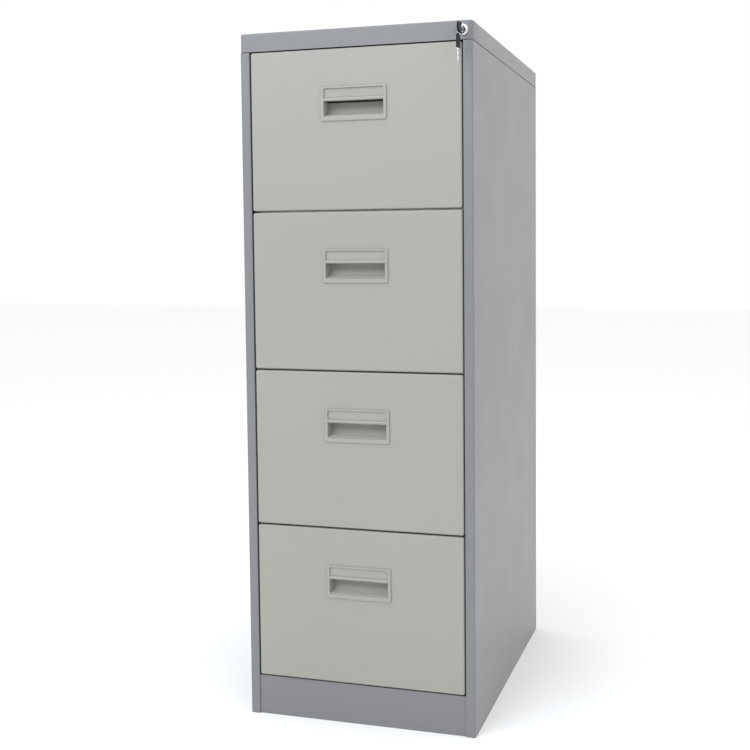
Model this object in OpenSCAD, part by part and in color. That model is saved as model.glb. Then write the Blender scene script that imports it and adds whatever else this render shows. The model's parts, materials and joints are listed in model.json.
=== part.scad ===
// Four-drawer steel filing cabinet with a cam lock in the top cover.
// Origin: centre of the base on the floor. +Z is up and the drawers open towards -Y.

/* [Cabinet] */
// Width over the top cover
body_w = 460; // [440:5:620]
// Depth over the top cover
body_d = 620; // [600:5:700]
// Height from the floor to the top
body_h = 1330; // [1300:5:1400]
// Thickness of the sheet steel
sheet_t = 1; // [0.8:0.1:1]
// Height of the top cover's flange
cap_h = 35; // [34:1:38]
// Radius of the top cover's upright corners
cap_r = 8; // [4:1:9]
// Width of the flange beside the drawers
stile_w = 19; // [19:0.5:20]
// Height of the plinth under the lowest drawer
plinth_h = 78; // [76:1:90]

/* [Drawers] */
// How far a drawer pulls out
drawer_travel = 500; // [300:10:510]
// Gap above and below each drawer front
front_gap = 3; // [2.5:0.5:4]
// Depth of a drawer front's folded edges
front_fold = 20; // [18:1:20]
// Height of a drawer's sides
tray_h = 240; // [180:5:250]
// Length of a drawer's sides behind the front
tray_len = 550; // [540:1:560]

/* [Slides] */
// Space between a drawer's side and the upright
slide_w = 12.7; // [12.7:0.1:13]
// Height of the slide's outer rail
slide_h = 45; // [45:0.5:46]
// Thickness of the rails
rail_t = 1.2; // [1:0.1:1.3]
// Diameter of the bearing balls
ball_d = 3.6; // [3.2:0.1:3.8]
// Balls in each row
ball_count = 5; // [3:1:8]

/* [Handles] */
// Width of the handle's frame
handle_w = 130; // [110:2:150]
// Height of the handle's frame
handle_h = 64; // [60:1:66]
// Distance from a drawer's top edge to the middle of its handle
handle_drop = 103; // [90:1:140]
// How far the frame stands proud of the drawer
handle_proud = 2.5; // [2:0.5:4]
// Depth of the finger recess
scoop_d = 27; // [24:1:28]

/* [Lock] */
// Distance from the cabinet's right side to the lock
lock_inset = 19; // [18.9:0.1:19.3]
// Radius of the lock plug
plug_r = 6; // [5.8:0.1:6.2]
// Distance from the lock's axis to the cam pin
cam_r = 11; // [10.8:0.1:11]
// Width of a key's bow
bow_w = 20; // [18:1:20]
// Length of a key's bow
bow_len = 26; // [25:0.5:27]
// Length of a key's blade
blade_len = 25; // [23:1:26]
// Mean radius of the key ring
ring_r = 8.5; // [8:0.1:8.5]

/* [Hidden] */
drawer_count = 4;
DRAWER_PARTS = ["front", "tray", "handle", "label_card", "file_rails", "slide_outer",
                "slide_middle", "slide_inner", "cage_outer", "cage_inner"];
$fn = 48;

grey = [0.63, 0.65, 0.67];
greige = [0.73, 0.72, 0.69];
zinc = [0.72, 0.73, 0.74];
chrome = [0.85, 0.86, 0.88];
black = [0.06, 0.06, 0.06];
paper = [0.93, 0.93, 0.9];

// The side panels and drawer fronts lie a little inside the top cover's outline.
cap_lip = 0.6;
side_x = body_w / 2 - cap_lip;
face_y = -body_d / 2 + cap_lip;
rear_y = -face_y;
inside_x = side_x - sheet_t;
inside_y = rear_y - 2 * sheet_t;
opening_x = side_x - stile_w + cap_lip;
bend_r = 3;
seam = 1;
cap_z = body_h - cap_h;
strip_base = cap_z - 11;
strip_top = body_h - 8;

// Drawer heights, counted from the top
pitch = (cap_z - plinth_h) / drawer_count;
front_h = pitch - front_gap;
side_gap = 2.5;
front_x = opening_x - side_gap;
function front_z(n) = cap_z - n * pitch + front_gap / 2;
tray_lift = 12;
slide_lift = 60;
function tray_z(n) = front_z(n) + tray_lift;
function handle_z(n) = front_z(n) + front_h - handle_drop;
function slide_z(n) = tray_z(n) + slide_lift;
tray_y = face_y + front_fold;

// Uprights stand beside the slides
upright_w = 20.4;
upright_x = inside_x - upright_w;
upright_len = 30;
upright_y = face_y + front_fold + 5.4;
tray_x = upright_x - slide_w;
slide_len = 550;
floor_z = 66;

// Lock and its bar
lock_x = body_w / 2 - lock_inset;
lock_z = cap_z + cap_h / 2;
lock_y = -body_d / 2;
bezel_r = 10.5;
bezel_t = 4;
barrel_r = 9;
nut_r = 12.6;
barrel_len = 16.5;
run_gap = 0.05;
cam_rest = -45;
bar_y = face_y + front_fold + 0.9;
bar_t = 2;
pin_r = 2;
pin_len = 4.5;
hub_r = 5;
arm_w = 8;
pin_z = lock_z + cam_r * sin(cam_rest);
slot_gap = 0.6;
slot_x0 = lock_x + cam_r * cos(cam_rest) - pin_r - slot_gap;
slot_x1 = lock_x + cam_r + pin_r + slot_gap;
slot_wall = 3.4;
edge_wall = 2.3;
bar_x = slot_x0 - slot_wall;
bar_edge = slot_x1 + edge_wall;
hook_h = 8;
hook_reach = 5;
hook_lift = 25;
tab_lift = 40;
tab_h = 10;
tab_gap = 2.5;

// Keys
key_t = 2;
key_w = 6.6;
bow_t = 3.6;
bow_gap = 7;
bow_y = lock_y - bezel_t - bow_gap;
hole_inset = 5;
hole_r = 2.2;
hole_y = bow_y - bow_len + hole_inset;
wire_r = 0.8;

// Openings in the handle's frame, measured from the handle's middle
recess_w = handle_w - 12;
recess_top = 5;
recess_h = 28.5;
window_z = 20;
window_h = 17;
backing_y = face_y + 2.6;
card_back = face_y + 0.9;
card_t = 0.5;
pocket_h = 8;

// A box between two corners
module block(low, high) {
    translate(low) cube(high - low);
}

// The child and its mirror image on the cabinet's other side
module both_sides() {
    children();
    mirror([1, 0, 0]) children();
}

// A rectangle with round corners, made of true arcs
module round_rect(w, d, r) {
    square([w - 2 * r, d], center = true);
    square([w, d - 2 * r], center = true);
    for (x = [-1, 1], y = [-1, 1])
        translate([x * (w / 2 - r), y * (d / 2 - r)]) circle(r);
}

// A flat outline in X and Z, carried from y0 to y1
module along_y(y0, y1) {
    translate([0, y1, 0]) rotate([90, 0, 0]) linear_extrude(y1 - y0) children();
}

// Cover folded down on all four sides, with the lock's hole in its front flange
module top_cover() color(grey) difference() {
    translate([0, 0, cap_z]) linear_extrude(cap_h) round_rect(body_w, body_d, cap_r);
    translate([0, 0, cap_z - 1]) linear_extrude(cap_h + 1 - sheet_t)
        round_rect(body_w - 2 * sheet_t, body_d - 2 * sheet_t, cap_r - sheet_t);
    translate([lock_x, lock_y, lock_z]) rotate([90, 0, 0])
        cylinder(h = 10, r = barrel_r + 0.2, center = true);
}

// Side sheet folded round the front and the back, with a strip that the cover slides over
module side_panel() color(grey) {
    return_len = 6;
    rear_fold = 13;
    strip_setback = 12;
    linear_extrude(cap_z - seam) difference() {
        round_rect(2 * side_x, 2 * rear_y, bend_r);
        round_rect(2 * inside_x, 2 * (rear_y - sheet_t), bend_r - sheet_t);
        translate([-body_w, -body_d]) square([body_w + opening_x, body_d]);
        translate([-body_w, 0]) square([body_w + side_x - rear_fold, body_d]);
    }
    block([opening_x, face_y + sheet_t, 0],
          [opening_x + sheet_t, face_y + return_len, cap_z - seam]);
    block([inside_x - sheet_t, -body_d / 2 + strip_setback, strip_base],
          [inside_x, body_d / 2 - strip_setback, strip_top]);
}

module right_side_panel() side_panel();
module left_side_panel() mirror([1, 0, 0]) side_panel();

// Rear sheet, held inside the side panels' rear folds and clear of the corners' bends
module back_panel() color(grey) {
    half_w = inside_x - cap_r + 3;
    block([-half_w, inside_y, 1], [half_w, inside_y + sheet_t, strip_top]);
}

// Pan under the lowest drawer
module floor_panel() color(grey) {
    front = face_y + 9.4;
    lip_h = 16;
    block([-inside_x, front, floor_z], [inside_x, inside_y - bend_r, floor_z + sheet_t]);
    block([-inside_x, front, floor_z - lip_h], [inside_x, front + sheet_t, floor_z]);
}

// Cross channel that carries the floor panel and stands on the floor
module base_channel() color(grey) {
    half_w = 30;
    difference() {
        block([-inside_x, -half_w, 0], [inside_x, half_w, floor_z]);
        block([-inside_x - 1, -half_w + rail_t, rail_t],
              [inside_x + 1, half_w - rail_t, floor_z + 1]);
    }
}

// Kick plate between the side panels, folded back at its top and bottom
module plinth() color(grey) {
    front = face_y + 3;
    fold = 16;
    block([-opening_x, front, 0], [opening_x, front + sheet_t, plinth_h - 1]);
    for (z = [0, plinth_h - 1 - sheet_t])
        block([-opening_x, front + sheet_t, z], [opening_x, front + fold, z + sheet_t]);
}

// Channel-section posts that the slides are fixed to
module uprights() color(zinc) both_sides()
    for (y = [upright_y, upright_y + slide_len - upright_len])
        difference() {
            block([upright_x, y, floor_z + sheet_t], [inside_x, y + upright_len, strip_base - 1]);
            block([upright_x + rail_t, y + rail_t, floor_z],
                  [inside_x + 1, y + upright_len - rail_t, cap_z]);
        }

// Rails across the front between one drawer and the next
module cross_rails() color(zinc) {
    half_h = 6;
    y0 = upright_y - 1;
    y1 = y0 + 18;
    for (n = [1:drawer_count - 1]) {
        z = front_z(n) - front_gap / 2;
        difference() {
            block([-upright_x, y0, z - half_h], [upright_x, y1, z + half_h]);
            block([-body_w, y0 + rail_t, z - half_h + rail_t],
                  [body_w, y1 + 1, z + half_h - rail_t]);
        }
    }
}

// Pressed front: a pan folded back on four sides and closed by a liner
module drawer_front(n) color(greige) difference() {
    z = front_z(n);
    frame_over_x = 4;
    frame_over_z = 3.25;
    block([-front_x, face_y, z], [front_x, tray_y, z + front_h]);
    block([-front_x + sheet_t, face_y + sheet_t, z + sheet_t],
          [front_x - sheet_t, tray_y - sheet_t, z + front_h - sheet_t]);
    along_y(face_y - 1, tray_y + 1) translate([0, handle_z(n)])
        square([handle_w - 2 * frame_over_x, handle_h - 2 * frame_over_z], center = true);
}

// Folded bottom, sides and back, with the tab that the lock bar stops
module drawer_tray(n) color(greige) {
    z = tray_z(n);
    difference() {
        block([-tray_x, tray_y, z], [tray_x, tray_y + tray_len, z + tray_h]);
        block([-tray_x + sheet_t, tray_y - 1, z + sheet_t],
              [tray_x - sheet_t, tray_y + tray_len - sheet_t, z + tray_h + 1]);
    }
    tab_y = bar_y + bar_t + tab_gap;
    block([tray_x, tab_y, slide_z(n) + tab_lift],
          [upright_x - 1, tab_y + rail_t, slide_z(n) + tab_lift + tab_h]);
}

// Frame with a label window above a finger recess: a curved scoop, and a pocket up behind the lip
module drawer_handle(n) color(greige) {
    wall = 1.5;
    corner_r = 3;
    slot_y = face_y + 3;
    box_top = handle_h / 2 - 4.5;
    translate([0, 0, handle_z(n)]) {
        // Frame in front of the drawer's face
        along_y(face_y - handle_proud, face_y) difference() {
            round_rect(handle_w, handle_h, corner_r);
            translate([0, recess_top - recess_h / 2]) square([recess_w, recess_h], center = true);
            translate([0, window_z]) square([recess_w, window_h], center = true);
        }
        // Behind the frame: a box hollowed by the scoop, with the card's backing above it
        difference() {
            block([-recess_w / 2 - wall, face_y, recess_top - recess_h - wall],
                  [recess_w / 2 + wall, face_y + scoop_d + wall, box_top]);
            translate([0, face_y, recess_top]) rotate([0, 90, 0])
                cylinder(h = recess_w, r = scoop_d, center = true, $fn = 96);
            block([-recess_w / 2, face_y - 1, recess_top - recess_h],
                  [recess_w / 2, slot_y, recess_top]);
            block([-recess_w / 2, backing_y, recess_top - 1],
                  [recess_w / 2, face_y + scoop_d, recess_top + pocket_h]);
            block([-handle_w, backing_y, recess_top + pocket_h + wall],
                  [handle_w, face_y + 2 * scoop_d, handle_h]);
            block([-recess_w / 2, face_y - 1, window_z - window_h / 2],
                  [recess_w / 2, card_back, window_z + window_h / 2]);
        }
    }
}

// Blank card in the handle's label window
module drawer_label_card(n) color(paper)
    translate([0, 0, handle_z(n) + window_z])
        block([-recess_w / 2 + 0.4, card_back - card_t, -window_h / 2 + 0.3],
              [recess_w / 2 - 0.4, card_back, window_h / 2 - 0.3]);

// Rails on the drawer's sides for hanging files
module drawer_file_rails(n) color(zinc) both_sides() {
    z = tray_z(n) + tray_h;
    rail_w = 5;
    rail_h = 10;
    end_gap = 5;
    y0 = tray_y + end_gap;
    y1 = tray_y + tray_len - end_gap;
    block([tray_x - rail_w, y0, z], [tray_x, y1, z + 2]);
    block([tray_x - rail_w, y0, z + 2], [tray_x - rail_w + 2, y1, z + rail_h]);
}

// A rail folded like a C, h high and w deep, with its web at x
module rail_profile(x, h, w) {
    inwards = w > 0 ? 0 : -rail_t;
    translate([x + inwards, -h / 2]) square([rail_t, h]);
    for (z = [-h / 2, h / 2 - rail_t])
        translate([min(x, x + w), z]) square([abs(w), rail_t]);
}

// A pair of rails at slide n
module rail_pair(n, x, h, w) color(zinc)
    both_sides() translate([0, 0, slide_z(n)])
        along_y(upright_y, upright_y + slide_len) rail_profile(x, h, w);

race_gap = 0.4;
middle_h = slide_h - 2 * (rail_t + ball_d + 2 * race_gap);
inner_h = middle_h - 2 * (rail_t + ball_d + 2 * race_gap);
outer_w = 7;
middle_w = 6;
middle_inset = 3.2;
inner_w = 6.4;
outer_cage_inset = 5.1;
inner_cage_inset = 4.95;
module drawer_slide_outer(n) rail_pair(n, upright_x, slide_h, -outer_w);
module drawer_slide_middle(n) rail_pair(n, upright_x - middle_inset, middle_h, -middle_w);
module drawer_slide_inner(n) rail_pair(n, tray_x, inner_h, inner_w);

// Balls in a strip, above and below a rail h high
strip_w = 4.4;
strip_t = 0.8;
module ball_cage(n, x, h, y0, length) color(zinc)
    both_sides() translate([x, y0, slide_z(n)])
        for (side = [-1, 1]) {
            z = side * (h / 2 + race_gap + ball_d / 2);
            block([-strip_w / 2, 0, z - strip_t / 2], [strip_w / 2, length, z + strip_t / 2]);
            for (i = [0:ball_count - 1])
                translate([0, (i + 0.5) * length / ball_count, z]) sphere(d = ball_d, $fn = 24);
        }

// The cages lie where their two rails overlap from shut to fully out
cage_margin = 80;
cage_len = slide_len - drawer_travel / 2 - 2 * cage_margin;
cage_y = upright_y + (slide_len - cage_len) / 2;
module drawer_cage_outer(n)
    ball_cage(n, upright_x - outer_cage_inset, middle_h, cage_y, cage_len);
module drawer_cage_inner(n)
    ball_cage(n, tray_x + inner_cage_inset, inner_h, cage_y, cage_len);

// A cylinder along Y about the lock's axis, from y0 back to y1
module lock_round(r, y0, y1) {
    translate([lock_x, y1, lock_z]) rotate([90, 0, 0]) cylinder(h = y1 - y0, r = r);
}

// Bezel in front of the cover and barrel behind it, bored for the plug
module lock_housing() color(chrome) difference() {
    union() {
        lock_round(bezel_r, lock_y - bezel_t, lock_y);
        lock_round(barrel_r, lock_y, lock_y + barrel_len);
    }
    lock_round(plug_r + run_gap, lock_y - bezel_t - 1, lock_y + barrel_len + 1);
}

// Six-sided nut that clamps the barrel to the cover
module lock_nut() color(zinc) difference() {
    translate([lock_x, lock_y + sheet_t + 5, lock_z]) rotate([90, 30, 0])
        cylinder(h = 5, r = nut_r, $fn = 6);
    lock_round(barrel_r + 0.1, lock_y, lock_y + 10);
}

// Plug with its upright keyway
module lock_plug() color(chrome) difference() {
    lock_round(plug_r, lock_y - bezel_t + 0.5, lock_y + barrel_len + 1.5);
    block([lock_x - key_t / 2 - 0.2, lock_y - bezel_t - 1, lock_z - key_w / 2 - 0.3],
          [lock_x + key_t / 2 + 0.2, lock_y + barrel_len - 1, lock_z + key_w / 2 + 0.3]);
}

// Arm on the plug's end, with the pin that lifts the lock bar
module lock_cam() color(zinc) {
    cam_y = lock_y + barrel_len + 1.5;
    lock_round(hub_r, cam_y, cam_y + bar_t);
    translate([lock_x, 0, lock_z]) rotate([0, -cam_rest, 0]) {
        block([0, cam_y, -arm_w / 2], [cam_r, cam_y + bar_t, arm_w / 2]);
        translate([cam_r, cam_y + bar_t, 0]) rotate([90, 0, 0]) {
            cylinder(h = bar_t, r = arm_w / 2);
            translate([0, 0, -pin_len]) cylinder(h = pin_len, r = pin_r);
        }
    }
}

// Upright bar behind the right-hand flange, with a slot for the cam's pin and a hook for each drawer
module lock_bar() color(zinc) {
    above_pin = 6.5;
    slot_h = 2 * pin_r + 1.6;
    low_z = slide_z(drawer_count) + hook_lift - 12;
    difference() {
        block([bar_x, bar_y, low_z], [bar_edge, bar_y + bar_t, pin_z + above_pin]);
        block([slot_x0, bar_y - 1, pin_z - slot_h / 2],
              [slot_x1, bar_y + bar_t + 1, pin_z + slot_h / 2]);
    }
    for (n = [1:drawer_count]) {
        z = slide_z(n) + hook_lift;
        block([upright_x - hook_reach, bar_y, z], [bar_x, bar_y + bar_t, z + hook_h]);
    }
}

// Clips on the side panel that the bar slides in
module bar_guides() color(zinc) {
    clip_h = 16;
    clip_lift = 100;
    clip_t = 1.2;
    play = 0.5;
    edge = bar_edge - 6;
    for (n = [1:drawer_count]) {
        z = slide_z(n) + clip_lift;
        difference() {
            block([edge, bar_y - play - clip_t, z],
                  [inside_x, bar_y + bar_t + play + clip_t, z + clip_h]);
            block([edge - 1, bar_y - play, z - 1],
                  [inside_x - clip_t, bar_y + bar_t + play, z + clip_h + 1]);
        }
    }
}

// Bow with a round outer end, its ring hole at the origin and its flat end towards +Y
module bow() color(black)
    rotate([90, 0, 90]) translate([0, 0, -bow_t / 2]) linear_extrude(bow_t) difference() {
        union() {
            translate([bow_w / 2 - hole_inset, 0]) circle(bow_w / 2, $fn = 64);
            translate([bow_w / 2 - hole_inset, -bow_w / 2]) square([bow_len - bow_w / 2, bow_w]);
        }
        circle(hole_r);
    }

// Blade on from the bow's flat end
module blade() color(chrome)
    block([-key_t / 2, bow_len - hole_inset, -key_w / 2],
          [key_t / 2, bow_len - hole_inset + blade_len, key_w / 2]);

// Places a key with its blade in the plug, or hanging from the bottom of the ring
module in_lock() translate([lock_x, hole_y, lock_z]) children();
module on_ring() translate([lock_x, hole_y, lock_z - 2 * ring_r]) rotate([-90, 0, 0]) children();

module key_bow() in_lock() bow();
module key_blade() in_lock() blade();
module spare_key_bow() on_ring() bow();
module spare_key_blade() on_ring() blade();

// Wire ring through both bows
module key_ring() color(chrome)
    translate([lock_x, hole_y, lock_z - ring_r]) rotate([90, 0, 0])
        rotate_extrude($fn = 64) translate([ring_r, 0]) circle(wire_r, $fn = 24);

top_cover();
left_side_panel();
right_side_panel();
back_panel();
floor_panel();
base_channel();
plinth();
uprights();
cross_rails();
lock_housing();
lock_nut();
lock_plug();
lock_cam();
lock_bar();
bar_guides();
key_bow();
key_blade();
key_ring();
spare_key_bow();
spare_key_blade();
for (n = [1:drawer_count]) {
    drawer = str("drawer_", n, "_");
    drawer_front(n);
    drawer_tray(n);
    drawer_handle(n);
    drawer_label_card(n);
    drawer_file_rails(n);
    drawer_slide_outer(n);
    drawer_slide_middle(n);
    drawer_slide_inner(n);
    drawer_cage_outer(n);
    drawer_cage_inner(n);
}
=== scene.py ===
import json
import math
import bmesh
import bpy
import numpy as np
from mathutils import Matrix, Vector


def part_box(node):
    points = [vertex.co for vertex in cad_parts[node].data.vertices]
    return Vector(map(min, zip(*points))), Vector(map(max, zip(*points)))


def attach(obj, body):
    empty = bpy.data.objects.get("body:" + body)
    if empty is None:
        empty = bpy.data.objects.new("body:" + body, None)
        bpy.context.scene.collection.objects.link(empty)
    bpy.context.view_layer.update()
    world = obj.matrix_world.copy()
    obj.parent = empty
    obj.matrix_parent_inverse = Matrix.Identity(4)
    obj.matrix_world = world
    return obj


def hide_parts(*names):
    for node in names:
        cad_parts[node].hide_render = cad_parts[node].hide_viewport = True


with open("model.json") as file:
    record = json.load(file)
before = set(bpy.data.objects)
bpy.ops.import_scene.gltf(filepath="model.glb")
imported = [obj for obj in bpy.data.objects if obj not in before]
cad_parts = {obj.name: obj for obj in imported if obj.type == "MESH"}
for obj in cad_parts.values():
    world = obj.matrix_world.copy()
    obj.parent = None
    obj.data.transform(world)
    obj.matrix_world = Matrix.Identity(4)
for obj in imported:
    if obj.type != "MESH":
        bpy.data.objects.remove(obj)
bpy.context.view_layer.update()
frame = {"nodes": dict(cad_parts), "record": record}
mm = 0.001
scene = bpy.context.scene
drawers = range(1, 5)

# The view: place and clip in metres, turns in degrees, lens in millimetres, shift in frame widths
camera = {
    "place": (0.704, -2.232, 0.912),
    "turnLeft": 15.66,
    "tiltDown": 3.6,
    "roll": 0.36,
    "lens": 51.97,
    "shift": (-0.0867, -0.0733),
    "clip": (0.05, 60),
}


# Ahead is the unit vector at the two angles, right is ahead x up and down is ahead x right. The
# last two are then turned about ahead by the roll.
def makeCamera(spec):
    turn, tilt, roll = (math.radians(spec[key]) for key in ("turnLeft", "tiltDown", "roll"))
    ahead = np.array([-math.sin(turn) * math.cos(tilt), math.cos(turn) * math.cos(tilt), -math.sin(tilt)])
    right = np.cross(ahead, [0, 0, 1])
    right /= np.linalg.norm(right)
    down = np.cross(ahead, right)
    rolledRight = math.cos(roll) * right + math.sin(roll) * down
    rolledDown = math.cos(roll) * down - math.sin(roll) * right
    data = bpy.data.cameras.new("camera")
    data.lens = spec["lens"]
    data.shift_x, data.shift_y = spec["shift"]
    data.clip_start, data.clip_end = spec["clip"]
    obj = bpy.data.objects.new("camera", data)
    axes = np.column_stack([rolledRight, -rolledDown, -ahead])
    obj.matrix_world = Matrix.Translation(spec["place"]) @ Matrix(axes.tolist()).to_4x4()
    scene.collection.objects.link(obj)
    scene.camera = obj


makeCamera(camera)

# Studio: soft boxes as (name, place, aimed at, width, height, watts, colour), a pale floor and an even sky
studio = {
    "boxes": (
        ("topBox", (0.3, -0.9, 3.4), (0, 0, 0.9), 2.6, 2.6, 25, (0.90, 0.95, 1)),
        ("frontBox", (-1.2, -3.0, 2.6), (0, -0.3, 1.25), 2.6, 1.2, 58, (0.80, 0.90, 1)),
        ("sideBox", (2.5, -0.7, 3.0), (0.2, 0, 1.25), 1.6, 1.2, 7, (0.90, 0.94, 1)),
    ),
    "floorSize": 30,
    "floorColor": (0.95, 0.95, 0.945, 1),
    "floorRoughness": 0.9,
    "skyStrength": 1.0,
}


def makeStudio(spec):
    for name, place, aim, width, height, watts, color in spec["boxes"]:
        data = bpy.data.lights.new(name, "AREA")
        data.shape = "RECTANGLE"
        data.size = width
        data.size_y = height
        data.energy = watts
        data.color = color
        obj = bpy.data.objects.new(name, data)
        back = np.array(place, float) - np.array(aim, float)
        back /= np.linalg.norm(back)
        side = np.cross([0, 0, 1], back)
        side /= np.linalg.norm(side)
        axes = np.column_stack([side, np.cross(back, side), back])
        obj.matrix_world = Matrix.Translation(place) @ Matrix(axes.tolist()).to_4x4()
        scene.collection.objects.link(obj)
    world = bpy.data.worlds.new("sky")
    world.use_nodes = True
    sky = world.node_tree.nodes["Background"]
    sky.inputs["Color"].default_value = (1, 1, 1, 1)
    sky.inputs["Strength"].default_value = spec["skyStrength"]
    scene.world = world
    half = spec["floorSize"] / 2
    mesh = bpy.data.meshes.new("floor")
    corners = [(-half, -half, 0), (half, -half, 0), (half, half, 0), (-half, half, 0)]
    mesh.from_pydata(corners, [], [(0, 1, 2, 3)])
    floor = bpy.data.objects.new("floor", mesh)
    scene.collection.objects.link(floor)
    material = bpy.data.materials.new("floorPaint")
    material.use_nodes = True
    shader = material.node_tree.nodes["Principled BSDF"]
    shader.inputs["Base Color"].default_value = spec["floorColor"]
    shader.inputs["Roughness"].default_value = spec["floorRoughness"]
    mesh.materials.append(material)
    scene.view_settings.view_transform = "Standard"


makeStudio(studio)
print("studio and camera ready")


# Materials. Each one reads Object coordinates, so every pattern has a real size in metres.
class Nodes:
    def __init__(self, name):
        self.material = bpy.data.materials.new(name)
        self.material.use_nodes = True
        self.tree = self.material.node_tree
        self.shader = self.tree.nodes["Principled BSDF"]
        self.place = self.tree.nodes.new("ShaderNodeTexCoord").outputs["Object"]

    def link(self, source, target):
        self.tree.links.new(source, target)

    def stretched(self, scale):
        node = self.tree.nodes.new("ShaderNodeMapping")
        node.inputs["Scale"].default_value = scale
        self.link(self.place, node.inputs["Vector"])
        return node.outputs["Vector"]

    def noise(self, size, detail=2, roughness=0.5, vector=None):
        # size is the width of a typical blob in metres
        node = self.tree.nodes.new("ShaderNodeTexNoise")
        node.inputs["Scale"].default_value = 1 / size
        node.inputs["Detail"].default_value = detail
        node.inputs["Roughness"].default_value = roughness
        self.link(vector or self.place, node.inputs["Vector"])
        return node.outputs["Fac"]

    def ramp(self, value, stops):
        # stops are (position, grey or colour)
        node = self.tree.nodes.new("ShaderNodeValToRGB")
        while len(node.color_ramp.elements) < len(stops):
            node.color_ramp.elements.new(0.5)
        for element, (position, color) in zip(node.color_ramp.elements, stops):
            element.position = position
            element.color = (color, color, color, 1) if np.isscalar(color) else (*color, 1)
        self.link(value, node.inputs["Fac"])
        return node.outputs["Color"]

    def mix(self, factor, first, second):
        node = self.tree.nodes.new("ShaderNodeMix")
        node.data_type = "RGBA"
        for socket, value in ((node.inputs[0], factor), (node.inputs[6], first), (node.inputs[7], second)):
            if isinstance(value, bpy.types.NodeSocket):
                self.link(value, socket)
            elif isinstance(value, tuple):
                socket.default_value = (*value, 1)
            else:
                socket.default_value = value
        return node.outputs[2]

    def bump(self, height, depth, strength=1.0, normal=None):
        # depth is the height of the pattern in metres
        node = self.tree.nodes.new("ShaderNodeBump")
        node.inputs["Distance"].default_value = depth
        node.inputs["Strength"].default_value = strength
        self.link(height, node.inputs["Height"])
        if normal is not None:
            self.link(normal, node.inputs["Normal"])
        return node.outputs["Normal"]

    def finish(self, color=None, roughness=None, normal=None, **fixed):
        # color, roughness and normal may be patterns; the rest are the same all over and set on the shader
        if color is not None:
            self.link(color, self.shader.inputs["Base Color"])
        if roughness is not None:
            self.link(roughness, self.shader.inputs["Roughness"])
        if normal is not None:
            self.link(normal, self.shader.inputs["Normal"])
        for key, value in fixed.items():
            self.shader.inputs[key.replace("_", " ")].default_value = value
        return self.material


def shade(color, amount):
    return tuple(min(1, channel * amount) for channel in color)


# Powder paint: orange peel over slow waves in the sheet, faint clouds, fine speckle and thin dust.
# Sizes are the width of a typical blob and depths its height, in metres.
paintDetail = {
    "cloudSize": 0.35,
    "speckleSize": 0.0009,
    "speckleTint": 0.9,
    "dustSize": 0.06,
    "dustTint": 1.12,
    "glossPatchSize": 0.12,
    "waveSize": 0.16,
    "waveDepth": 0.00025,
}
bodyPaint = {"color": (0.190, 0.191, 0.198), "roughness": 0.32, "peelSize": 0.0016, "peelDepth": 0.00003}
frontPaint = {"color": (0.313, 0.301, 0.271), "roughness": 0.38, "peelSize": 0.0014, "peelDepth": 0.00003}


def powderPaint(name, spec, detail=paintDetail):
    nodes = Nodes(name)
    color = spec["color"]
    clouds = nodes.noise(detail["cloudSize"], detail=3)
    base = nodes.ramp(clouds, ((0.3, shade(color, 0.985)), (0.7, shade(color, 1.012))))
    speckle = nodes.ramp(nodes.noise(detail["speckleSize"], detail=1), ((0.35, 0.0), (0.8, 0.16)))
    base = nodes.mix(speckle, base, shade(color, detail["speckleTint"]))
    dust = nodes.noise(detail["dustSize"], detail=5, roughness=0.65)
    base = nodes.mix(nodes.ramp(dust, ((0.6, 0.0), (0.9, 0.035))), base, shade(color, detail["dustTint"]))
    matte = spec["roughness"]
    patches = nodes.noise(detail["glossPatchSize"], detail=4)
    rough = nodes.ramp(patches, ((0.3, matte - 0.02), (0.7, matte + 0.02)))
    peel = nodes.noise(spec["peelSize"], detail=2)
    waves = nodes.noise(detail["waveSize"], detail=1)
    normal = nodes.bump(waves, detail["waveDepth"], normal=nodes.bump(peel, spec["peelDepth"]))
    return nodes.finish(base, rough, normal, Coat_Weight=0.04, Coat_Roughness=0.2, Specular_IOR_Level=0.32)


# Zinc plating: cells that shade from a darker middle to a lighter edge, with drawing lines along Y
def zincPlate(name, color=(0.55, 0.56, 0.57), lines=(1, 0.02, 1)):
    nodes = Nodes(name)
    crystals = nodes.tree.nodes.new("ShaderNodeTexVoronoi")
    crystals.inputs["Scale"].default_value = 160
    nodes.link(nodes.place, crystals.inputs["Vector"])
    cells = crystals.outputs["Distance"]
    flakes = nodes.ramp(cells, ((0.0, shade(color, 0.93)), (0.8, shade(color, 1.06))))
    drawn = nodes.noise(0.0012, detail=3, vector=nodes.stretched(lines))
    base = nodes.mix(nodes.ramp(drawn, ((0.4, 0.0), (0.75, 0.3))), flakes, shade(color, 0.85))
    rough = nodes.ramp(nodes.noise(0.02, detail=4), ((0.3, 0.3), (0.7, 0.42)))
    return nodes.finish(base, rough, nodes.bump(drawn, 0.00002), Metallic=1.0)


# Bright plating with hairline scratches along Z and a little haze
def brightPlate(name, color=(0.82, 0.83, 0.85), roughness=0.1):
    nodes = Nodes(name)
    scratches = nodes.noise(0.0006, detail=4, vector=nodes.stretched((1, 1, 0.08)))
    base = nodes.ramp(nodes.noise(0.004, detail=3), ((0.3, shade(color, 0.94)), (0.7, color)))
    rough = nodes.ramp(scratches, ((0.4, roughness), (0.75, roughness + 0.14)))
    return nodes.finish(base, rough, nodes.bump(scratches, 0.000006), Metallic=1.0)


# Moulded plastic: fine grain, a little smoother and lighter in patches
def mouldedPlastic(name, color=(0.004, 0.004, 0.005)):
    nodes = Nodes(name)
    grain = nodes.noise(0.00035, detail=2)
    base = nodes.ramp(nodes.noise(0.006, detail=3), ((0.3, color), (0.8, shade(color, 1.8))))
    rough = nodes.ramp(nodes.noise(0.008, detail=2), ((0.35, 0.42), (0.7, 0.56)))
    return nodes.finish(base, rough, nodes.bump(grain, 0.00004), Specular_IOR_Level=0.25)


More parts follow.
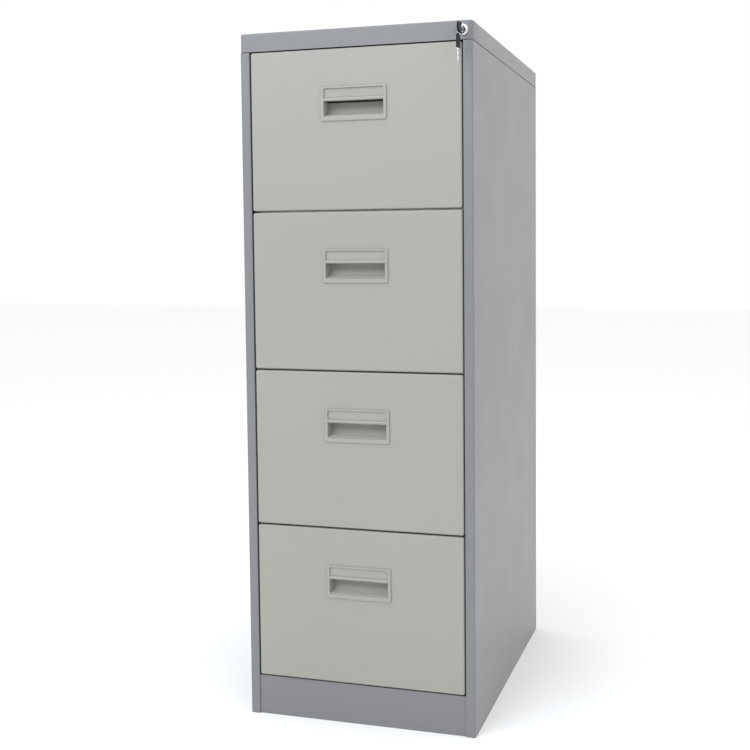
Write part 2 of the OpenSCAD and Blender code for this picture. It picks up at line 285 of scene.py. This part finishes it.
# Card: fibres that lie along X, lighter and darker
def plainCard(name, color=(0.313, 0.301, 0.271)):
    nodes = Nodes(name)
    fibres = nodes.noise(0.0008, detail=5, roughness=0.7, vector=nodes.stretched((0.35, 1, 1)))
    base = nodes.ramp(fibres, ((0.3, shade(color, 0.96)), (0.75, shade(color, 1.04))))
    return nodes.finish(base, None, nodes.bump(fibres, 0.00003), Roughness=0.7)


finishes = {
    "body_paint": powderPaint("bodyPaint", bodyPaint),
    "front_paint": powderPaint("frontPaint", frontPaint),
    "handle_paint": powderPaint("handlePaint", {**frontPaint, "roughness": 0.33, "peelSize": 0.0011}),
    "card": plainCard("plainCard"),
    "zinc": zincPlate("zincPlate"),
    "cage_steel": zincPlate("cageSteel", (0.62, 0.62, 0.62)),
    "chrome": brightPlate("chrome"),
    "key_steel": brightPlate("keySteel", (0.6, 0.6, 0.59), 0.2),
    "key_plastic": mouldedPlastic("keyPlastic"),
}
ringFinish = brightPlate("ringSteel", (0.2, 0.2, 0.205), 0.35)
slotOf = {row["node"]: row["material_slot"] for row in frame["record"]["subparts"]}
for node, obj in frame["nodes"].items():
    obj.data.materials.clear()
    obj.data.materials.append(finishes[slotOf[node]])
print("materials ready")


# A grid of points, shape (across, along, 3), becomes a sheet of quads. Closed directions wrap round.
def gridFaces(across, along, closedAcross=False, closedAlong=False):
    i = np.arange(across if closedAcross else across - 1)
    j = np.arange(along if closedAlong else along - 1)
    i, j = (a.ravel() for a in np.meshgrid(i, j, indexing="ij"))
    nextI = (i + 1) % across
    nextJ = (j + 1) % along
    return np.stack([i * along + j, nextI * along + j, nextI * along + nextJ, i * along + nextJ], axis=1)


# Several sheets in one mesh. A sheet is (points, closedAcross, closedAlong, caps), and caps lists
# the rows, 0 or -1, that one flat face closes.
def sheetsToMesh(name, sheets):
    points = []
    faces = []
    start = 0
    for grid, closedAcross, closedAlong, caps in sheets:
        across, along = grid.shape[:2]
        faces += (gridFaces(across, along, closedAcross, closedAlong) + start).tolist()
        for cap in caps:
            row = start + (0 if cap == 0 else across - 1) * along + np.arange(along)
            faces.append(row[::-1].tolist() if cap == 0 else row.tolist())
        points.append(grid.reshape(-1, 3))
        start += across * along
    mesh = bpy.data.meshes.new(name)
    mesh.from_pydata(np.concatenate(points).tolist(), [], faces)
    mesh.polygons.foreach_set("use_smooth", np.ones(len(mesh.polygons), bool))
    return mesh


mergeDistance = 0.01 * mm


# Adds the mesh as a piece that stands for CAD nodes, and turns its faces outwards. Points nearer
# to each other than mergeDistance become one, which closes seams and poles.
def addPiece(name, mesh, body, *nodes, thickness=0.0, sharp=50):
    shape = bmesh.new()
    shape.from_mesh(mesh)
    bmesh.ops.remove_doubles(shape, verts=shape.verts, dist=mergeDistance)
    bmesh.ops.recalc_face_normals(shape, faces=shape.faces)
    shape.to_mesh(mesh)
    shape.free()
    mesh.set_sharp_from_angle(angle=math.radians(sharp))
    obj = bpy.data.objects.new(name, mesh)
    scene.collection.objects.link(obj)
    if thickness:
        solid = obj.modifiers.new("sheet", "SOLIDIFY")
        solid.thickness = thickness
        solid.offset = -1
        solid.use_even_offset = True
    slotName = slotOf[nodes[0]]
    mesh.materials.append(finishes[slotName])
    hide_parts(*nodes)
    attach(obj, body)
    return obj


# A bent outline: straight runs between corners, each corner an arc of its own radius that touches
# both runs. The arc starts radius / tan(half the corner's angle) from the corner, and its middle is
# radius / sin(half the angle) from it. A point just before and after the arc keeps the flats flat,
# and the long runs are split into equal parts.
def bentOutline(corners, radii, steps, split, hold=0.6 * mm):
    corners = np.array(corners, float)
    runs = [corners[:1]]
    for before, corner, after, radius in zip(corners, corners[1:-1], corners[2:], radii):
        into = (before - corner) / np.linalg.norm(before - corner)
        out = (after - corner) / np.linalg.norm(after - corner)
        half = math.acos(np.clip(into @ out, -1, 1)) / 2
        reach = radius / math.tan(half)
        middle = corner + (into + out) / np.linalg.norm(into + out) * radius / math.sin(half)
        first = corner + into * reach - middle
        last = corner + out * reach - middle
        share = np.linspace(0, 1, steps + 1)[:, None]
        arc = first * (1 - share) + last * share
        arc *= radius / np.linalg.norm(arc, axis=1)[:, None]
        runs += [corner[None] + into * (reach + hold), middle + arc, corner[None] + out * (reach + hold)]
    runs.append(corners[-1:])
    line = np.concatenate(runs)
    lengths = np.linalg.norm(np.diff(line, axis=0), axis=1)
    long = lengths > lengths.max() * 0.5
    pieces = []
    for k, isLong in enumerate(long):
        count = split if isLong else 1
        share = np.arange(count)[:, None] / count
        pieces.append(line[k] * (1 - share) + line[k + 1] * share)
    return np.concatenate(pieces + [line[-1:]])


# Points round a rectangle with round corners, the same count for any size. A corner is a quarter
# circle about the point one radius in from both sides, and a side joins two corners in equal steps.
# Sizes may be arrays, one per row of the result.
def roundedLoop(halfWidth, halfHeight, radius, sidePoints, cornerPoints=7):
    sizes = (halfWidth, halfHeight, radius)
    halfWidth, halfHeight, radius = (np.atleast_1d(np.asarray(size, float))[:, None] for size in sizes)
    turn = np.linspace(0, math.pi / 2, cornerPoints)[None]
    signs = ((1, 1), (-1, 1), (-1, -1), (1, -1))
    rows = []
    for quarter, (signX, signY) in enumerate(signs):
        angle = turn + quarter * math.pi / 2
        x = signX * (halfWidth - radius) + radius * np.cos(angle)
        y = signY * (halfHeight - radius) + radius * np.sin(angle)
        rows.append(np.stack([x, y], axis=-1))
    loops = []
    share = np.linspace(0, 1, sidePoints + 2)[1:-1][None, :, None]
    for here, following in zip(rows, rows[1:] + rows[:1]):
        loops += [here, here[:, -1:] * (1 - share) + following[:, :1] * share]
    return np.concatenate(loops, axis=1)


# The points (x, y, z) of three arrays that broadcast together
def spot(x, y, z):
    return np.stack(np.broadcast_arrays(x, y, z), axis=-1)


# Top cover: loops round the plan, up the flange and over the bend, where a loop at angle t is drawn
# in by bend * (1 - cos t) and raised by bend * sin t. The corners' radius shrinks by as much. Loops
# just inside the bend, the first of which merge with it, keep the top flat, and one face closes it.
topCover = {
    "cornerRadius": 8 * mm,
    "bend": 3.2 * mm,
    "sheet": 1 * mm,
    "hem": 0.5 * mm,
    "topLoops": (0.0009, 0.0015, 0.003, 0.006, 0.012, 0.024, 0.048, 0.096, 0.15, 0.2),
    "leastRadius": 0.1 * mm,
}


def makeTopCover(spec):
    low, high = (np.array(corner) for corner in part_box("top_cover"))
    half = (high - low) / 2
    center = (low + high) / 2
    bend = spec["bend"]
    turn = np.linspace(0, math.pi / 2, 9)
    flange = np.append(low[2], np.linspace(low[2] + spec["hem"], high[2] - bend - spec["hem"], 4))
    drawnIn = np.concatenate([np.zeros(len(flange)), bend * (1 - np.cos(turn))])
    height = np.concatenate([flange, high[2] - bend + bend * np.sin(turn)])
    radius = spec["cornerRadius"] - drawnIn
    inside = np.array(spec["topLoops"]) * mm
    drawnIn = np.concatenate([drawnIn, bend + inside])
    height = np.concatenate([height, np.full(len(inside), high[2])])
    radius = np.concatenate([radius, np.maximum(radius[-1] - inside, spec["leastRadius"])])
    plan = roundedLoop(half[0] - drawnIn, half[1] - drawnIn, radius, sidePoints=10)
    grid = spot(plan[..., 0] + center[0], plan[..., 1] + center[1], height[:, None])
    mesh = sheetsToMesh("topCover", [(grid, False, True, (-1,))])
    addPiece("topCover", mesh, "cabinet", "top_cover", thickness=spec["sheet"])


# Side panel: one bent outline in plan, from the rear fold round to the return behind the front
# flange, carried up the panel. The big face dishes in by dish * (1 - y^2) * (1 - z^4), with y and z
# running from -1 to 1 over it. A flat strip behind it carries the top cover.
sidePanel = {
    "bend": 3 * mm,
    "edgeBend": 1.4 * mm,
    "rearFold": 13 * mm,
    "return": 6 * mm,
    "hem": 0.5 * mm,
    "sheet": 1 * mm,
    "dish": 0.7 * mm,
    "seam": 1 * mm,
    "stripInset": 1.6 * mm,
    "stripSetback": 12 * mm,
    "stripOverlap": 10 * mm,
    "rowsUp": 40,
    "rowsAcross": 24,
}


def makeSidePanel(name, node, side, spec):
    low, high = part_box(node)
    outside = max(abs(low[0]), abs(high[0]))
    front, rear = low[1], high[1]
    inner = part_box("plinth")[1][0]
    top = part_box("top_cover")[0][2] - spec["seam"]
    corners = [(outside - spec["rearFold"], rear), (outside, rear), (outside, front), (inner, front),
               (inner, front + spec["return"])]
    radii = [spec["bend"], spec["bend"], spec["edgeBend"]]
    outline = bentOutline(corners, radii, steps=7, split=spec["rowsAcross"])
    hem = spec["hem"]
    firstRun = outline[1] - outline[0]
    lastRun = outline[-1] - outline[-2]
    afterFirst = outline[0] + hem * firstRun / np.linalg.norm(firstRun)
    beforeLast = outline[-1] - hem * lastRun / np.linalg.norm(lastRun)
    outline = np.concatenate([outline[:1], [afterFirst], outline[1:-1], [beforeLast], outline[-1:]])
    levels = np.concatenate([[0], np.linspace(hem, top - hem, spec["rowsUp"]), [top]])
    grid = np.repeat(spot(outline[:, 0], outline[:, 1], 0)[:, None], len(levels), axis=1)
    grid[..., 2] = levels[None]
    onFace = np.abs(grid[..., 0] - outside) < mm / 1000
    alongDepth = 1 - (grid[..., 1] / rear) ** 2
    alongHeight = 1 - (2 * grid[..., 2] / top - 1) ** 4
    grid[..., 0] -= onFace * spec["dish"] * alongDepth * alongHeight
    grid[..., 0] *= side
    stripX = (outside - spec["stripInset"]) * side
    stripY = np.array([rear - spec["stripSetback"], front + spec["stripSetback"]])
    stripZ = np.linspace(top - spec["stripOverlap"], high[2], 3)
    stripGrid = spot(stripX, stripY[:, None], stripZ[None])
    mesh = sheetsToMesh(name, [(grid, False, False, ()), (stripGrid, False, False, ())])
    addPiece(name, mesh, "cabinet", node, thickness=spec["sheet"])


makeTopCover(topCover)
makeSidePanel("sidePanelLeft", "left_side_panel", -1, sidePanel)
makeSidePanel("sidePanelRight", "right_side_panel", 1, sidePanel)
print("case ready")

# Drawer front: loops from the handle's hole out over the face, round the folded edge, back along
# the fold and in over the liner to the hole again. At angle t a loop on the edge is drawn in by
# edge * (1 - sin t) and stands back by edge * (1 - cos t). The face dishes in by
# dish * (1 - x^2) * (1 - z^2), with x and z running from -1 to 1 over it.
drawerFront = {
    "edge": 3.5 * mm,
    "corner": 4.2 * mm,
    "rearEdge": 0.8 * mm,
    "hold": 0.6 * mm,
    "flatCorner": 0.2 * mm,
    "dish": 0.25 * mm,
    "frameOverX": 4 * mm,
    "frameOverZ": 3.25 * mm,
    "holeCorner": 2 * mm,
}


# Rows of (half width, half height, corner radius, middle height, depth) as loops in X and Z
def loopsFromRows(rows):
    rows = np.array(rows, float)
    plan = roundedLoop(rows[:, 0], rows[:, 1], rows[:, 2], sidePoints=14)
    return spot(plan[..., 0], rows[:, 4:5], plan[..., 1] + rows[:, 3:4])


def makeDrawerFront(n, spec):
    low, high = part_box(f"drawer_{n}_front")
    handleLow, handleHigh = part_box(f"drawer_{n}_handle")
    halfX, halfZ, middle = high[0], (high[2] - low[2]) / 2, (high[2] + low[2]) / 2
    front, rear = low[1], high[1]
    holeX = handleHigh[0] - spec["frameOverX"]
    holeZ = (handleHigh[2] - handleLow[2]) / 2 - spec["frameOverZ"]
    holeMiddle = (handleHigh[2] + handleLow[2]) / 2
    edge, rearEdge, corner = spec["edge"], spec["rearEdge"], spec["corner"]

    def loop(drawnIn, depth):
        return [halfX - drawnIn, halfZ - drawnIn, corner - drawnIn, middle, depth]

    hole = np.array([holeX, holeZ, spec["holeCorner"], holeMiddle, front])
    flat = np.array(loop(edge + spec["hold"], front))
    flat[2] = spec["flatCorner"]
    rows = [hole * (1 - share) + flat * share for share in np.linspace(0, 1, 12)]
    for turn in np.linspace(0, math.pi / 2, 9):
        rows.append(loop(edge * (1 - math.sin(turn)), front + edge * (1 - math.cos(turn))))
    for turn in np.linspace(0, math.pi / 2, 4):
        rows.append(loop(rearEdge * (1 - math.cos(turn)), rear - rearEdge * (1 - math.sin(turn))))
    hole[4] = rear
    rows.append(hole)
    grid = loopsFromRows(rows)
    onFace = np.abs(grid[..., 1] - front) < mm / 10000
    crown = (1 - (grid[..., 0] / halfX) ** 2) * (1 - ((grid[..., 2] - middle) / halfZ) ** 2)
    grid[..., 1] += onFace * spec["dish"] * crown
    mesh = sheetsToMesh(f"drawer{n}Front", [(grid, True, True, ())])
    addPiece(f"drawer{n}Front", mesh, f"drawer_{n}", f"drawer_{n}_front")


# Handle: a frame of loops over a soft outer edge, an upright backing for the card, and a lip below
# it whose nose is half an ellipse. Under the lip the scoop is a quarter circle, carried along X and
# closed at both ends by fans, and behind the lip a shallow pocket reaches up.
handle = {
    "corner": 3 * mm,
    "outerEdge": 1.1 * mm,
    "innerEdge": 0.7 * mm,
    "innerCorner": 1.6 * mm,
    "sides": 6 * mm,
    "top": 3.5 * mm,
    "bottom": 8.5 * mm,
    "frameLap": 1 * mm,
    "proud": 2.5 * mm,
    "windowHeight": 17 * mm,
    "backing": 0.9 * mm,
    "backingSheet": 1.7 * mm,
    "lipHeight": 6.5 * mm,
    "lipProud": 2.3 * mm,
    "scoop": 27 * mm,
    "pocketHeight": 8 * mm,
    "sheet": 1.3 * mm,
}
# The scoop's paint is a lighter tint of the front's: painted light that lifts the shade inside the recess
scoopHighlightPaint = {**frontPaint, "color": shade(frontPaint["color"], 1.3), "roughness": 0.45}
# The pocket's paint is near black: painted shadow, a dark sheet behind the lip where there is only shade
pocketShadePaint = {**frontPaint, "color": (0.03, 0.03, 0.03), "roughness": 0.7}
scoopHighlightFinish = powderPaint("scoopHighlightPaint", scoopHighlightPaint)
pocketShadeFinish = powderPaint("pocketShadePaint", pocketShadePaint)


def makeHandle(n, spec):
    low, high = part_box(f"drawer_{n}_handle")
    halfX, halfZ, middle = high[0], (high[2] - low[2]) / 2, (high[2] + low[2]) / 2
    front = low[1]
    face = front + spec["proud"]
    innerX = halfX - spec["sides"]
    innerZ = halfZ - (spec["top"] + spec["bottom"]) / 2
    innerMiddle = middle + (spec["bottom"] - spec["top"]) / 2
    outer, inner, corner = spec["outerEdge"], spec["innerEdge"], spec["corner"]

    def outerLoop(drawnIn, depth):
        return [halfX - drawnIn, halfZ - drawnIn, corner - drawnIn, middle, depth]

    def innerLoop(wider, radius, depth):
        return [innerX + wider, innerZ + wider, radius, innerMiddle, depth]

    behind = face + spec["backing"]
    rows = [outerLoop(0, face)]
    for turn in np.linspace(0, math.pi / 2, 7):
        rows.append(outerLoop(outer * (1 - math.cos(turn)), front + outer * (1 - math.sin(turn))))
    for turn in np.linspace(0, math.pi / 2, 6):
        wider = inner * (1 - math.sin(turn))
        rows.append(innerLoop(wider, spec["innerCorner"] + wider, front + inner * (1 - math.cos(turn))))
    rows.append(innerLoop(0, spec["innerCorner"], behind))
    rows.append(innerLoop(spec["frameLap"], spec["innerCorner"], behind))
    frameSheet = loopsFromRows(rows)

    windowTop = innerMiddle + innerZ
    lipTop = windowTop - spec["windowHeight"]
    lipBottom = lipTop - spec["lipHeight"]
    lipMiddle = (lipTop + lipBottom) / 2
    turn = np.linspace(-math.pi / 2, math.pi / 2, 17)
    noseY = face - spec["lipProud"] * np.cos(turn)
    noseZ = lipMiddle + spec["lipHeight"] / 2 * np.sin(turn)
    back = np.array([[behind, lipTop], [behind, lipBottom]])
    lip = np.concatenate([np.column_stack([noseY, noseZ]), back])
    across = np.linspace(-innerX, innerX, 25)
    lipSheet = spot(across[:, None], lip[None, :, 0], lip[None, :, 1])

    pocketFront, scoopRear = behind + spec["backingSheet"], face + spec["scoop"]
    backing = np.array([[behind, windowTop], [behind, lipBottom], [pocketFront, lipBottom],
                        [pocketFront, windowTop]])
    backingSheet = spot(across[:, None], backing[None, :, 0], backing[None, :, 1])
    turn = np.linspace(0, math.pi / 2, 28)
    scoopY, scoopZ = spec["scoop"] * np.cos(turn)[None], spec["scoop"] * np.sin(turn)[None]
    scoopSheet = spot(across[:, None], face + scoopY, lipBottom - scoopZ)
    share = np.linspace(0, 1, 8)[:, None]
    ends = [spot(side, face + share * scoopY, lipBottom - share * scoopZ) for side in (-innerX, innerX)]
    pocketTop = lipBottom + spec["pocketHeight"]
    pocket = np.array([[pocketFront, lipBottom], [pocketFront, pocketTop], [scoopRear, pocketTop],
                       [scoopRear, lipBottom]])
    pocketSheet = spot(across[:, None], pocket[None, :, 0], pocket[None, :, 1])

    name = f"drawer{n}Handle"
    node = f"drawer_{n}_handle"
    mesh = sheetsToMesh(name + "Frame", [(frameSheet, True, True, ()), (lipSheet, False, True, (0, -1)),
                                         (backingSheet, False, True, (0, -1))])
    addPiece(name + "Frame", mesh, f"drawer_{n}", node)
    mesh = sheetsToMesh(name + "Scoop", [(sheet, False, False, ()) for sheet in (scoopSheet, *ends)])
    scoopPiece = addPiece(name + "Scoop", mesh, f"drawer_{n}", node, thickness=spec["sheet"])
    scoopPiece.modifiers["sheet"].offset = 1
    # Painted light: the scoop gets the lighter tint of the front's paint
    mesh.materials[0] = scoopHighlightFinish
    mesh = sheetsToMesh(name + "Pocket", [(pocketSheet, False, False, (0, -1))])
    pocketPiece = addPiece(name + "Pocket", mesh, f"drawer_{n}", node, thickness=spec["sheet"])
    pocketPiece.modifiers["sheet"].offset = 1
    # Painted shadow: the pocket behind the lip is painted near black
    mesh.materials[0] = pocketShadeFinish


for n in drawers:
    makeDrawerFront(n, drawerFront)
    makeHandle(n, handle)
print("drawer fronts and handles ready")


# A closed section of (radius, depth) turned about the lock's axis: at angle t a point is
# radius * sin t to the side of the axis and radius * cos t above it
def turned(section, centerX, centerZ, steps=72):
    angle = np.arange(steps)[:, None] * 2 * math.pi / steps
    radius, depth = np.array(section, float).T
    return spot(centerX + radius * np.sin(angle), np.broadcast_to(depth, (steps, len(depth))),
                centerZ + radius * np.cos(angle))


# Lock housing: a bezel with a quarter-ellipse shoulder, then the barrel, then the bore
lockHousing = {
    "bore": 6.05 * mm,
    "lead": 0.5 * mm,
    "land": 7.4 * mm,
    "bezelThick": 4 * mm,
    "bezelRim": 1 * mm,
    "barrel": 9 * mm,
}


def makeLockHousing(spec):
    low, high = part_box("lock_housing")
    centerX, centerZ = (low[0] + high[0]) / 2, (low[2] + high[2]) / 2
    bezel = (high[0] - low[0]) / 2
    front, rear = low[1], high[1]
    seat = front + spec["bezelThick"]
    bore, lead, land, barrel = (spec[key] for key in ("bore", "lead", "land", "barrel"))
    turn = np.linspace(0, math.pi / 2, 12)
    shoulderRadius = land + (bezel - land) * np.sin(turn)
    shoulderDepth = front + (spec["bezelThick"] - spec["bezelRim"]) * (1 - np.cos(turn))
    mouth = [[bore, front + lead], [bore + lead, front]]
    behind = [[bezel, seat], [barrel, seat], [barrel, rear], [bore, rear]]
    section = np.concatenate([mouth, np.column_stack([shoulderRadius, shoulderDepth]), behind])
    mesh = sheetsToMesh("lockHousing", [(turned(section, centerX, centerZ), True, True, ())])
    addPiece("lockHousing", mesh, "cabinet", "lock_housing", sharp=35)


# Keys, in their own axes: along from the ring hole to the blade, up across the bow, and thick.
# The bow is loops from the hole over the face, round a soft edge and back over the other face. The
# blade is one section, grooved on both sides, carried along it, with its lower edge cut in by the
# cuts' depths, joined in straight lines. Grooves and point are shares of half the blade's height.
key = {
    "holeInset": 5 * mm,
    "hole": 2.2 * mm,
    "softEdge": 1.1 * mm,
    "endCorner": 1.6 * mm,
    "leastCorner": 0.2 * mm,
    "cuts": ((0.18, 0.0), (0.28, 0.55), (0.36, 0.2), (0.46, 0.8), (0.55, 0.35), (0.66, 0.65),
             (0.76, 0.15), (0.85, 0.45), (0.93, 0.0)),
    "cutDepth": 2.4 * mm,
    "grooveDepth": 0.4 * mm,
    "grooveLevels": (0.61, 0.53, 0.31, 0.23),
    "pointStart": 0.93,
    "pointRise": 0.75,
    "stations": 61,
}


# The bow's outline is a half circle, two straight sides and a flat end with small corners
def bowOutline(width, length, inset, spec):
    half = width / 2 - inset
    end = length - inset
    small = max(spec["endCorner"] - inset, spec["leastCorner"])
    turn = np.linspace(-math.pi / 2, math.pi / 2, 41)
    dome = np.column_stack([width / 2 - half * np.cos(turn), half * np.sin(turn)])
    quarter = np.linspace(math.pi / 2, 0, 6)
    upper = np.column_stack([end - small + small * np.cos(quarter), half - small + small * np.sin(quarter)])
    straight = np.linspace(0, 1, 8)[1:-1, None]
    side = dome[-1] * (1 - straight) + upper[0] * straight
    lowerCorner = upper[::-1] * [1, -1]
    flatEnd = upper[-1] * (1 - straight) + lowerCorner[0] * straight
    return np.concatenate([dome, side, upper, flatEnd, lowerCorner, side[::-1] * [1, -1]])


# Which way along and up point: in the lock along is +Y and up is +Z, hanging along is -Z and up is +Y
def placed(points, origin, hanging):
    along, up, thick = points[..., 0], points[..., 1], points[..., 2]
    if hanging:
        return spot(origin[0] + thick, origin[1] + up, origin[2] - along)
    return spot(origin[0] + thick, origin[1] + along, origin[2] + up)


def makeKey(prefix, bowNode, bladeNode, body, hanging, spec):
    low, high = (np.array(corner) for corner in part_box(bowNode))
    size, middle = high - low, (low + high) / 2
    thick = size[0]
    length, width = (size[2], size[1]) if hanging else (size[1], size[2])
    start = (middle[0], middle[1], high[2]) if hanging else (middle[0], low[1], middle[2])
    soft = spec["softEdge"]
    outer = bowOutline(width, length, soft, spec)
    direction = np.arctan2(outer[:, 1], outer[:, 0] - spec["holeInset"])
    rim = [spec["holeInset"], 0] + spec["hole"] * np.column_stack([np.cos(direction), np.sin(direction)])
    face = np.full(len(rim), thick / 2)
    rows = [np.column_stack([rim * (1 - share) + outer * share, face]) for share in (0, 0.06, 0.5, 0.95)]
    for turn in np.linspace(0, math.pi, 13):
        outline = bowOutline(width, length, soft * (1 - math.sin(turn)), spec)
        level = (thick / 2 - soft) * (1 if turn < math.pi / 2 else -1) + soft * math.cos(turn)
        rows.append(np.column_stack([outline, np.full(len(outline), level)]))
    rows += [np.column_stack([row[:, :2], -face]) for row in rows[3::-1]]
    mesh = sheetsToMesh(prefix + "Bow", [(placed(np.array(rows), start, hanging), True, True, ())])
    addPiece(prefix + "Bow", mesh, body, bowNode, sharp=40)

    bladeLow, bladeHigh = (np.array(corner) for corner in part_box(bladeNode))
    bladeSize = bladeHigh - bladeLow
    bladeLength, bladeHeight = (bladeSize[2], bladeSize[1]) if hanging else (bladeSize[1], bladeSize[2])
    halfThick, halfHeight = bladeSize[0] / 2, bladeHeight / 2
    share = np.linspace(0, 1, spec["stations"])
    places, depths = np.array(spec["cuts"]).T
    bite = np.interp(share, places, depths) * spec["cutDepth"]
    narrowed = np.clip((share - spec["pointStart"]) / (1 - spec["pointStart"]), 0, 1)
    point = narrowed * halfHeight * spec["pointRise"]
    bottom = -halfHeight + np.maximum(bite, point)
    top = halfHeight - point
    flat = np.ones(spec["stations"])
    floor = halfThick - spec["grooveDepth"]
    sides = [np.column_stack([flat * halfThick, top])]
    sides += [np.column_stack([flat * wide, flat * level * halfHeight])
              for wide, level in zip((halfThick, floor, floor, halfThick), spec["grooveLevels"])]
    sides.append(np.column_stack([flat * halfThick, bottom]))
    section = np.array(sides + [side * [-1, 1] for side in reversed(sides)])
    section[..., 1] = np.clip(section[..., 1], bottom[None], top[None])
    along = np.broadcast_to(length + share * bladeLength, section.shape[:2])
    grid = np.stack([along, section[..., 1], section[..., 0]], axis=-1).transpose(1, 0, 2)
    mesh = sheetsToMesh(prefix + "Blade", [(placed(grid, start, hanging), False, True, (0, -1))])
    addPiece(prefix + "Blade", mesh, body, bladeNode, sharp=30)


# Key ring: a circle of wire whose section is a circle too. At angles a round the ring and t round
# the wire a point is (radius + wire * cos t) from the middle and wire * sin t out of its plane.
keyRing = {"wire": 0.8 * mm, "stepsRound": 96, "stepsWire": 16}


def makeKeyRing(spec):
    low, high = (np.array(corner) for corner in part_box("key_ring"))
    center = (low + high) / 2
    wire = spec["wire"]
    radius = (high[0] - low[0]) / 2 - wire
    around = np.arange(spec["stepsRound"])[:, None] * 2 * math.pi / spec["stepsRound"]
    turn = np.arange(spec["stepsWire"])[None] * 2 * math.pi / spec["stepsWire"]
    reach = radius + wire * np.cos(turn)
    grid = spot(center[0] + reach * np.sin(around), center[1] + wire * np.sin(turn),
                center[2] + reach * np.cos(around))
    mesh = sheetsToMesh("keyRing", [(grid, True, True, ())])
    addPiece("keyRing", mesh, "key_ring", "key_ring")
    mesh.materials[0] = ringFinish


makeLockHousing(lockHousing)
makeKey("key", "key_bow", "key_blade", "key", False, key)
makeKey("spareKey", "spare_key_bow", "spare_key_blade", "spare_key", True, key)
makeKeyRing(keyRing)
print("lock and keys ready")

print("scene ready")
